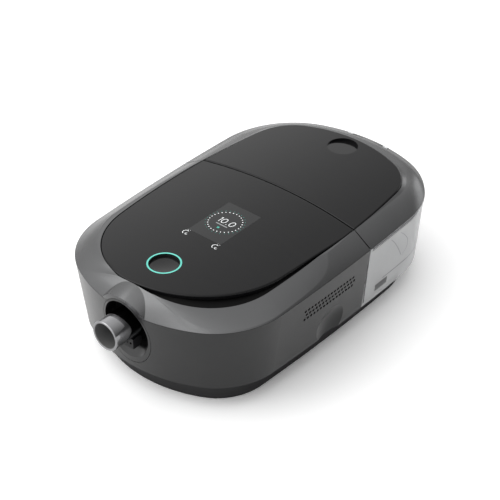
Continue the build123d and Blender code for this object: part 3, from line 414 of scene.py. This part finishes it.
def metal(name, colour, shine, along=(1.0, 1.0, 40.0), depth=0.00001):
    """Brushed or drawn metal: the marks are noise squeezed across the brushing."""
    finish = Finish(name)
    marks = finish.noise(0.004, 4.0, stretch=along)
    stains = finish.noise(0.02, 2.0)
    shader = finish.surface(
        Base_Color=finish.tint(stains, scaled(colour, 0.86), colour),
        Roughness=shine + (marks - 0.5) * 0.15,
        Metallic=1.0,
        Normal=finish.bump(marks, depth),
    )
    return finish.done(shader)


plinth_black = moulded("plinth_black", (0.012, 0.012, 0.013), 0.55, 0.00006, 0.0009)
inner_black = moulded("inner_black", (0.008, 0.008, 0.009), 0.45, gloss=0.35)
# The panel's carrier is black plastic, painted nearly pure black as the shade in the gap under the
# panel.
pocket_shade_black = moulded("pocket_shade_black", (0.003, 0.003, 0.003), 0.6, gloss=0.12)
part_black = moulded("part_black", (0.03, 0.03, 0.033), 0.5)
rubber_black = moulded("rubber_black", (0.03, 0.03, 0.032), 0.75, 0.00008, 0.0012)
milky_silicone = moulded("milky_silicone", (0.52, 0.54, 0.56), 0.45, 0.00004, 0.002)
white_moulding = moulded("white_moulding", (0.72, 0.72, 0.70), 0.45)
foam_grey = moulded("foam_grey", (0.16, 0.16, 0.17), 0.95, 0.0004, 0.0015, 0.3)
filter_blue = moulded("filter_blue", (0.50, 0.62, 0.74), 0.95, 0.0003, 0.0008, 0.15)
steel = metal("steel", (0.56, 0.56, 0.57), 0.28)
alloy = metal("alloy", (0.66, 0.66, 0.68), 0.32, (40.0, 1.0, 1.0))
copper = metal("copper_winding", (0.62, 0.30, 0.16), 0.35, (1.0, 1.0, 60.0), 0.0001)
magnet_grey = metal("magnet_grey", (0.30, 0.30, 0.31), 0.45)


def plated_tube():
    """Smoked chrome outside; inside the bore it is bare dark grey plastic."""
    axis_height, bore_radius = 55.7 * mm, 9.45 * mm
    finish = Finish("plated_tube")
    marks = finish.noise(0.004, 4.0)
    axes = finish.node("ShaderNodeSeparateXYZ", {}, {"Vector": finish.place})
    off_axis = (axes["X"] ** 2.0 + (axes["Z"] - axis_height) ** 2.0) ** 0.5
    bore = off_axis < bore_radius
    shader = finish.surface(
        Base_Color=finish.tint(bore, (0.36, 0.36, 0.37), (0.13, 0.13, 0.13)),
        Roughness=0.09 + bore * 0.3 + (marks - 0.5) * 0.05,
        Metallic=1.0 - bore,
        Normal=finish.bump(marks, 0.000004),
    )
    return finish.done(shader)


smoked_chrome = plated_tube()
print("plain goods ready")

# %% [markdown]
# ## Circuit board
#
# Solder mask is green lacquer over copper tracks.  Cells with straight borders stand in for the
# tracks: where two cells meet, the lacquer is a little lighter and stands a little proud.


# %% Solder mask
def solder_mask():
    finish = Finish("solder_mask")
    cells_per_metre, track_width = 320.0, 0.06
    inputs = {"Vector": finish.place, "Scale": cells_per_metre, "Randomness": 0.35}
    cells = finish.node("ShaderNodeTexVoronoi", {"feature": "DISTANCE_TO_EDGE"}, inputs)
    track = cells["Distance"] < track_width
    shader = finish.surface(
        Base_Color=finish.tint(track, (0.012, 0.10, 0.045), (0.03, 0.19, 0.08)),
        Roughness=0.35 + finish.noise(0.003) * 0.1,
        Normal=finish.bump(track, 0.00003),
    )
    return finish.done(shader)


board_green = solder_mask()
print("board:", board_green.material.name)

# %% [markdown]
# ## Lit ring
#
# The ring round the power button is a clear light guide with a teal lamp under it.  It is
# brightest over the lamp and paler there, so the glow and the colour both drift round the ring.
# Its side wall, down in the recess, is masked: only faces that look up are lit, and the side
# wall's colour is painted nearly black as shade in the recess.


# %% Light guide
def lit_guide():
    finish = Finish("lit_guide")
    drift = finish.noise(0.012, 1.0)
    facing = finish.node("ShaderNodeNewGeometry")["Normal"]
    top_lit_side_shaded = finish.node("ShaderNodeSeparateXYZ", {}, {"Vector": facing})["Z"] > 0.7
    lamp = finish.tint(drift, (0.02, 0.30, 0.24), (0.24, 0.86, 0.72))
    lit = finish.blend(top_lit_side_shaded, (0.0, 0.01, 0.008, 1.0), lamp)
    shader = finish.surface(
        # The side wall's colour is painted nearly black, as shade down in the recess.
        Base_Color=finish.tint(top_lit_side_shaded, (0.004, 0.008, 0.007), (0.04, 0.24, 0.20)),
        Roughness=0.25 + drift * 0.05,
        Emission_Color=lit,
        Emission_Strength=0.9,
    )
    return finish.done(shader)


ring_glow = lit_guide()
print("glow:", ring_glow.material.name)

# %% [markdown]
# ## Smoked clear plastic
#
# The tank is a clear moulding with a grey tint.  Real glass needs light that bends twice through
# every wall, which is slow and noisy; a mix of a see-through surface and a pale gloss looks the
# same on a thin wall.  The share of gloss grows at the edge, as it does on the real thing.


# %% Clear mouldings
def clear_plastic(name, colour, body, shine=0.08):
    """A thin clear wall; `body` is how much of it is seen face on."""
    finish = Finish(name)
    edge = finish.node("ShaderNodeLayerWeight", {}, {"Blend": 0.35})["Facing"]
    haze = finish.noise(0.03, 3.0)
    scratch = finish.noise(0.002, 3.0, stretch=(1.0, 1.0, 12.0))
    gloss = finish.surface(
        Base_Color=finish.tint(haze, scaled(colour, 0.94), colour),
        Roughness=shine + haze * 0.05,
        IOR=1.5,
        Normal=finish.bump(scratch, 0.000004),
    )
    clear_tone = (0.94, 0.945, 0.95, 1.0)
    hole = finish.node("ShaderNodeBsdfTransparent", {}, {"Color": clear_tone})["BSDF"]
    share = body + edge * (0.75 - body) + (haze - 0.5) * 0.05
    mixed = finish.node("ShaderNodeMixShader", {}, {0: share, 1: hole, 2: gloss})
    return finish.done(mixed["Shader"])


tub_clear = clear_plastic("tub_clear", (0.80, 0.805, 0.81), 0.42)
liner_clear = clear_plastic("liner_clear", (0.45, 0.46, 0.47), 0.30)
peg_clear = clear_plastic("peg_clear", (0.80, 0.81, 0.82), 0.25)
print("clear mouldings ready")

# %% [markdown]
# ## Dress the solids
#
# Each solid keeps its shape and only gets its finish.  The table reads like a parts list: a
# finish, then the pieces that have it.

# %% Finishes for the solids
parts_list = [
    (shaded_side_paint, "front_housing filter_door outlet_bowl"),
    (lit_rim_paint, "upper_rim tank_lid_rim"),
    (plate_gloss, "display_panel tank_lid_panel"),
    (lens_gloss, "screen_lens"),
    (cap_gloss, "power_button"),
    (ring_glow, "button_light_ring"),
    (plinth_black, "base_tray"),
    (pocket_shade_black, "panel_carrier"),
    (inner_black, "button_bezel outlet_well hose_contact_block rear_bulkhead"),
    (inner_black, "dock_deck power_socket"),
    (part_black, "lcd_module button_switch flow_sensor board_components"),
    (rubber_black, "rubber_feet blower_mounts dock_port_seals"),
    (milky_silicone, "outlet_duct feed_duct heater_cushion tank_lid_seal"),
    (white_moulding, "blower_box blower_box_lid volute_lower volute_upper"),
    (white_moulding, "impeller filter_cassette"),
    (foam_grey, "acoustic_foam"),
    (filter_blue, "pollen_filter"),
    (board_green, "main_board display_board"),
    (steel, "case_screws motor_shaft motor_bearings tank_base_plate lid_hinge_pin"),
    (alloy, "heater_plate bearing_holder"),
    (copper, "motor_stator"),
    (magnet_grey, "rotor_magnet"),
    (smoked_chrome, "outlet_tube"),
    (tub_clear, "tank_tub tank_baffle"),
    (liner_clear, "tank_lid_liner"),
    (peg_clear, "icon_light_guides"),
]
dressed = set()
for finish, names in parts_list:
    for name in names.split():
        for material_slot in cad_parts[name].material_slots:
            material_slot.material = finish.material
        dressed.add(name)
print("dressed:", len(dressed), "left over:", sorted(set(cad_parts) - dressed))

# %% [markdown]
# ## Marks laid on a curved surface
#
# The dial, the number and the touch icons are thin marks on a crowned plate.  Each starts as a
# flat drawing above the plate, and every point of it drops straight down until it meets the
# solid.  A bounding-volume tree of the solid answers "where does this ray land?" quickly.  A
# Shrinkwrap modifier could project them too, but it slides points sideways near an edge.


# %% Drop points onto a solid
def tree_of(name):
    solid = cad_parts[name]
    return BVHTree.FromPolygons(
        [vertex.co for vertex in solid.data.vertices],
        [list(polygon.vertices) for polygon in solid.data.polygons],
    )


ink_lift = 0.00004
drawing_height = 0.1
straight_down = (0.0, 0.0, -1.0)


def landing(tree, start, way, lift=ink_lift):
    """Where a ray meets the solid, stepped back by `lift`; None where it misses."""
    hit = tree.ray_cast(Vector(start), Vector(way))[0]
    return None if hit is None else hit - Vector(way) * lift


def add_piece(name, mesh, finish, body):
    """Puts a finished mesh in the scene as a piece that moves with one body."""
    mesh.name = name
    mesh.materials.clear()
    mesh.materials.append(finish.material)
    piece = bpy.data.objects.new(name, mesh)
    scene.collection.objects.link(piece)
    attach(piece, body)


plate_tree = tree_of("display_panel")
lens_tree = tree_of("screen_lens")
print("lens top at", round(landing(lens_tree, (0, -0.02, 0.2), straight_down).z, 5))

# %% [markdown]
# ## Inks
#
# The dial is lit from behind, so its marks glow a little.  A soft noise keeps the ink from being
# one flat tone, as real print thins out towards its edges.


# %% Printed and lit inks
def ink(name, colour, glow):
    finish = Finish(name)
    thin = finish.noise(0.0012, 2.0)
    printed = finish.tint(thin, scaled(colour, 0.8), colour)
    shader = finish.surface(
        Base_Color=printed,
        Roughness=0.35 + thin * 0.1,
        Emission_Color=printed,
        Emission_Strength=glow,
        Normal=finish.bump(thin, 0.000003),
    )
    return finish.done(shader)


white_ink = ink("white_ink", (0.86, 0.88, 0.88), 0.55)
grey_ink = ink("grey_ink", (0.26, 0.27, 0.27), 0.25)
teal_ink = ink("teal_ink", (0.05, 0.36, 0.28), 0.45)
faint_ink = ink("faint_ink", (0.03, 0.22, 0.18), 0.25)
print("inks:", [finish.material.name for finish in (white_ink, grey_ink, teal_ink, faint_ink)])

# %% [markdown]
# ## A dial of dots
#
# A dot that repeats round a ring is a job for Geometry Nodes: a circle of points, a small disc on
# each, then a ray from every vertex down to the lens.  The inputs are named, so one group makes
# the white dots and the fainter ring outside them.


# %% Node group for rings of dots
def ring_of_dots():
    group = bpy.data.node_groups.new("ring_of_dots", "GeometryNodeTree")
    wanted = {
        "Dots": "NodeSocketInt",
        "Ring Radius": "NodeSocketFloat",
        "Dot Radius": "NodeSocketFloat",
        "Centre": "NodeSocketVector",
        "Lens": "NodeSocketObject",
        "Ink": "NodeSocketMaterial",
    }
    for name, kind in wanted.items():
        group.interface.new_socket(name, in_out="INPUT", socket_type=kind)
    out = {"in_out": "OUTPUT", "socket_type": "NodeSocketGeometry"}
    group.interface.new_socket("Geometry", **out)
    tree = Tree(group)
    given = tree.node("NodeGroupInput")
    ring = {"Vertices": given["Dots"], "Radius": given["Ring Radius"]}
    dot = {"Vertices": 12, "Radius": given["Dot Radius"]}
    points = tree.node("GeometryNodeMeshCircle", {"fill_type": "NONE"}, ring)["Mesh"]
    disc = tree.node("GeometryNodeMeshCircle", {"fill_type": "NGON"}, dot)["Mesh"]
    copies = {"Points": points, "Instance": disc}
    placed = tree.node("GeometryNodeInstanceOnPoints", {}, copies)["Instances"]
    real = tree.node("GeometryNodeRealizeInstances", {}, {"Geometry": placed})["Geometry"]
    raised = {"Geometry": real, "Offset": given["Centre"]}
    above = tree.node("GeometryNodeSetPosition", {}, raised)["Geometry"]
    unturned = {"transform_space": "ORIGINAL"}
    lens = tree.node("GeometryNodeObjectInfo", unturned, {"Object": given["Lens"]})
    ray = {
        "Target Geometry": lens["Geometry"],
        "Ray Direction": straight_down,
        "Ray Length": drawing_height,
    }
    hit = tree.node("GeometryNodeRaycast", {}, ray)["Hit Position"]
    drop = {"Geometry": above, "Position": hit, "Offset": (0.0, 0.0, ink_lift)}
    laid = tree.node("GeometryNodeSetPosition", {}, drop)["Geometry"]
    inking = {"Geometry": laid, "Material": given["Ink"]}
    inked = tree.node("GeometryNodeSetMaterial", {}, inking)["Geometry"]
    tree.node("NodeGroupOutput", {}, {"Geometry": inked})
    return group


def grown(group, values):
    """Runs a node group on an empty mesh and gives back what it grew as a plain mesh."""
    carrier = bpy.data.objects.new("carrier", bpy.data.meshes.new("carrier"))
    scene.collection.objects.link(carrier)
    modifier = carrier.modifiers.new("grow", "NODES")
    modifier.node_group = group
    for item in group.interface.items_tree:
        if item.in_out == "INPUT":
            modifier[item.identifier] = values[item.name]
    graph = bpy.context.evaluated_depsgraph_get()
    mesh = bpy.data.meshes.new_from_object(carrier.evaluated_get(graph))
    bpy.data.objects.remove(carrier)
    return mesh


dots = ring_of_dots()
dial_x, dial_y = -0.3 * mm, -23.3 * mm
for name, count, radius, size, finish in (
    ("dial_dots", 28, 12.1 * mm, 0.42 * mm, white_ink),
    ("dial_halo", 28, 13.9 * mm, 0.34 * mm, faint_ink),
):
    settings = {
        "Dots": count,
        "Ring Radius": radius,
        "Dot Radius": size,
        "Centre": (dial_x, dial_y, drawing_height),
        "Lens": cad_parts["screen_lens"],
        "Ink": finish.material,
    }
    mesh = grown(dots, settings)
    add_piece(name, mesh, finish, "chassis")
    print(name, len(mesh.vertices), "points")

# %% [markdown]
# ## Strokes
#
# The number on the dial and the icons are strokes: a line of points is widened to both sides into
# a strip of quads, then dropped onto the plate.  A text curve would be quicker, but its strokes
# are too heavy for a thin display face.


# %% Strokes laid on a solid
def stroke_mesh(strokes, tree):
    """Flat strips of even width, each given as (points, width), dropped onto a solid."""
    form = bmesh.new()
    way = Vector(straight_down)
    for points, width in strokes:
        rail = [Vector(point) for point in points]
        rows = []
        for index, point in enumerate(rail):
            along = rail[min(index + 1, len(rail) - 1)] - rail[max(index - 1, 0)]
            across = along.cross(way).normalized() * (width / 2)
            row = [landing(tree, point + across * side, way) for side in (-1, 1)]
            if None not in row:
                rows.append([form.verts.new(place) for place in row])
        for first, second in zip(rows, rows[1:]):
            form.faces.new((first[0], second[0], second[1], first[1]))
    bmesh.ops.recalc_face_normals(form, faces=form.faces)
    for face in form.faces:
        if face.normal.dot(way) > 0:
            face.normal_flip()
    mesh = bpy.data.meshes.new("strokes")
    form.to_mesh(mesh)
    form.free()
    return mesh


def drawn(*places):
    """Points of a drawing, given in millimetres, held above the plate."""
    return [(x * mm, y * mm, drawing_height) for x, y in places]


def arc_points(x, y, radius, start, end, steps=12):
    """Points of an arc in millimetres, with its angles in degrees."""
    turns = [math.radians(start + (end - start) * step / steps) for step in range(steps + 1)]
    return drawn(*((x + radius * math.cos(turn), y + radius * math.sin(turn)) for turn in turns))


print("a quarter arc has", len(arc_points(0, 0, 1, 0, 90)), "points")

# %% [markdown]
# ## The dial's number, bar and mark
#
# The digits lean a little to the right, as on many displays: the higher a point, the further it
# moves.  That makes a slanted line of the one and a slanted oval of each nought.

# %% Number, bar and mark
lean = 0.12
digit_y, digit_half, nought_half, pen = -22.4, 2.7, 1.75, 0.44 * mm


def digit_points(x, places):
    """Points given sideways and upwards from a digit's middle, leaning to the right."""
    return drawn(*((x + across + lean * rise, digit_y + rise) for across, rise in places))


circle_steps = 32
round_turns = [2 * math.pi * step / circle_steps for step in range(circle_steps + 1)]
nought = [(nought_half * math.cos(turn), digit_half * math.sin(turn)) for turn in round_turns]
number = [
    (digit_points(-4.9, [(0.0, -digit_half), (0.0, digit_half)]), pen),
    (digit_points(-4.9, [(-1.1, 1.9), (0.0, digit_half)]), pen),
    (digit_points(-1.6, nought), pen),
    (digit_points(5.4, nought), pen),
    (drawn((1.55, digit_y - digit_half), (2.15, digit_y - digit_half)), 0.6 * mm),
]
add_piece("dial_number", stroke_mesh(number, lens_tree), white_ink, "chassis")

bar_y, mark_y = -27.4, -31.0
bar = [(drawn(*((x, bar_y) for x in (-5.0, -2.5, 0.0, 2.5, 5.0))), 1.0 * mm)]
add_piece("dial_bar", stroke_mesh(bar, lens_tree), grey_ink, "chassis")
mark = [(drawn(*((x, mark_y) for x in (-0.9, 0.0, 0.9))), 1.7 * mm)]
add_piece("dial_mark", stroke_mesh(mark, lens_tree), teal_ink, "chassis")
print("number strokes:", len(number))

# %% [markdown]
# ## Touch icons
#
# Each icon is a large open arc, a small one inside it and two ticks above.  The two icons differ
# only in their place, so one loop draws both.

# %% Touch icons
icon_y, icon_aside = -49.2, 13.4
bold_pen, fine_pen = 0.42 * mm, 0.35 * mm
for side, name in ((-1, "ramp_icon"), (1, "humidity_icon")):
    x = side * icon_aside
    strokes = [
        (arc_points(x, icon_y, 2.2, 60, 250), bold_pen),
        (arc_points(x + 1.5, icon_y - 1.2, 0.9, 90, 360), fine_pen),
    ]
    for tick in (-0.5, 1.3):
        rises = (3.1, 3.5, 3.9)
        strokes.append((drawn(*((x + tick, icon_y + rise) for rise in rises)), fine_pen))
    add_piece(name, stroke_mesh(strokes, plate_tree), white_ink, "chassis")
print("icons laid, strokes each:", len(strokes))

# %% [markdown]
# ## Trim of the tank
#
# The tank's wall has a fill line and a small darker grip patch low at the front.  A dark strip of
# painted shade runs along the seam, and a bright metal strip between two dark lines right under
# the lid is a painted highlight of the tank's flange.  Two fine arcs stand for curved ribs inside.
# All of them follow the wall, so rays from outside find it: each ray aims at the tank's upright
# middle line, and its landing place becomes a point of the strip.  The highlight strip stops at
# each side of the lid's hinge.

# %% Tank trim
wall_tree = tree_of("tank_tub")
tank_middle_y, outside_wall = 0.082, 0.3


def wall_point(turn, height, lift):
    """A point of the tank's wall, seen from its middle line at `turn` degrees from +X."""
    way = Vector((math.cos(math.radians(turn)), math.sin(math.radians(turn)), 0.0))
    start = Vector((0.0, tank_middle_y, height)) + way * outside_wall
    return landing(wall_tree, start, -way, lift)


widest_step = 3.0
skin_lift = 0.00003


def wall_band(name, turns, low, high, bulge, finish, rows=5):
    """A strip along the wall between two heights, bulging outwards in the middle.

    `low` and `high` give the heights at a turn.  The strip breaks where two turns that follow
    each other are `widest_step` degrees or more apart.
    """
    form = bmesh.new()
    columns = []
    for turn in turns:
        column = []
        for row in range(rows):
            share = row / (rows - 1)
            lift = math.sin(math.pi * share) * bulge + skin_lift
            column.append(wall_point(turn, low(turn) * (1 - share) + high(turn) * share, lift))
        if None not in column:
            columns.append((turn, [form.verts.new(place) for place in column]))
    for (turn_a, first), (turn_b, second) in zip(columns, columns[1:]):
        if turn_b - turn_a >= widest_step:
            continue
        for row in range(rows - 1):
            form.faces.new((first[row], second[row], second[row + 1], first[row + 1]))
    for face in form.faces:
        face.smooth = True
    mesh = bpy.data.meshes.new(name)
    form.to_mesh(mesh)
    form.free()
    add_piece(name, mesh, finish, "water_tank")


def turns_from(start, step, count):
    return [start + step * index for index in range(count)]


wall_reach_y = 0.075


def under_crease(drop):
    """A height that keeps `drop` millimetres under the crease, which rises backwards."""

    def height(turn):
        y = tank_middle_y + wall_reach_y * math.sin(math.radians(turn))
        return (crease_front_z + crease_rise * (y / mm - body_front_y) / body_length - drop) * mm

    return height


def level(height):
    """The same height, in millimetres, at every turn."""
    return lambda turn: height * mm


hinge_from, hinge_to = 57, 123
flange_highlight_turns = [turn for turn in turns_from(-31.5, 1.5, 163) if not hinge_from < turn < hinge_to]
print("bead columns:", len(flange_highlight_turns))

# %% [markdown]
# ## Flange highlight, lines and patches
#
# The flange's painted highlight is a bright metal strip between two black lines.  Every strip is
# the same helper with other heights: both follow the crease, or both are level.

# %% Strips on the tank
# A bright metal strip laid as a painted highlight along the tank's flange.
flange_highlight_metal = metal("flange_highlight_metal", (0.72, 0.72, 0.73), 0.22, (1.0, 1.0, 1.0))
shade_grey = moulded("shade_grey", (0.11, 0.112, 0.115), 0.35)
for name, top_drop, low_drop, bulge, finish in (
    ("tank_bead", 1.5, 2.4, 0.0005, flange_highlight_metal),
    ("bead_upper_line", 0.7, 1.4, 0.0002, part_black),
    ("bead_lower_line", 2.6, 3.3, 0.0002, part_black),
):
    wall_band(name, flange_highlight_turns, under_crease(low_drop), under_crease(top_drop), bulge, finish)

for name, turns, low_z, high_z, bulge, finish, rows in (
    ("fill_line", turns_from(-20, 1.5, 143), 32.6, 33.3, 0.0001, shade_grey, 3),
    ("grip_patch", turns_from(-25, 1.0, 10), 25.0, 31.0, 0.0003, shade_grey, 7),
    # seam_shade: a dark strip of painted shade along the seam in front of the tank.
    ("seam_shade", [-32.3, -32.0, -31.7], 21.5, 69.5, 0.00005, part_black, 9),
):
    wall_band(name, turns, level(low_z), level(high_z), bulge, finish, rows)
print("strips laid")

# %% [markdown]
# ## Rib lines
#
# The solids have one curved inner wall and no such ribs, so these two hairlines are only drawn
# on the outside.  Three knots fix each curve, and a parabola through them gives the points
# between.

# %% Curved ribs on the tank
wall_mm_per_degree = 1.6
arc_steps, arc_lift = 16, 0.00005


def wall_arc(name, knots, width, finish):
    """A fine line on the wall through (turn, height) knots, smoothed by a parabola."""
    (turn_a, rise_a), (turn_b, rise_b), (turn_c, rise_c) = knots
    half_turn = width / 2 / wall_mm_per_degree / mm
    rows = []
    form = bmesh.new()
    for step in range(arc_steps + 1):
        share = step / arc_steps
        near = (1 - share) * (1 - 2 * share)
        middle = 4 * share * (1 - share)
        far = share * (2 * share - 1)
        turn = near * turn_a + middle * turn_b + far * turn_c
        rise = (near * rise_a + middle * rise_b + far * rise_c) * mm
        ends = [wall_point(turn + side * half_turn, rise, arc_lift) for side in (-1, 1)]
        rows.append([form.verts.new(place) for place in ends])
    for first, second in zip(rows, rows[1:]):
        form.faces.new((first[0], first[1], second[1], second[0]))
    middle_line = Vector((0.0, tank_middle_y, 0.0))
    for face in form.faces:
        face.normal_update()
        if face.normal.dot(face.calc_center_median() - middle_line) < 0:
            face.normal_flip()
    mesh = bpy.data.meshes.new(name)
    form.to_mesh(mesh)
    form.free()
    add_piece(name, mesh, finish, "water_tank")


rib_pen = 0.5 * mm
front_knots = ((-17.5, 66.0), (-12.0, 56.0), (-6.0, 42.0))
rear_knots = ((-10.0, 66.0), (-1.5, 51.0), (-5.0, 41.0))
wall_arc("rib_arc_front", front_knots, rib_pen, shade_grey)
wall_arc("rib_arc_rear", rear_knots, rib_pen, shade_grey)
print("rib lines laid")
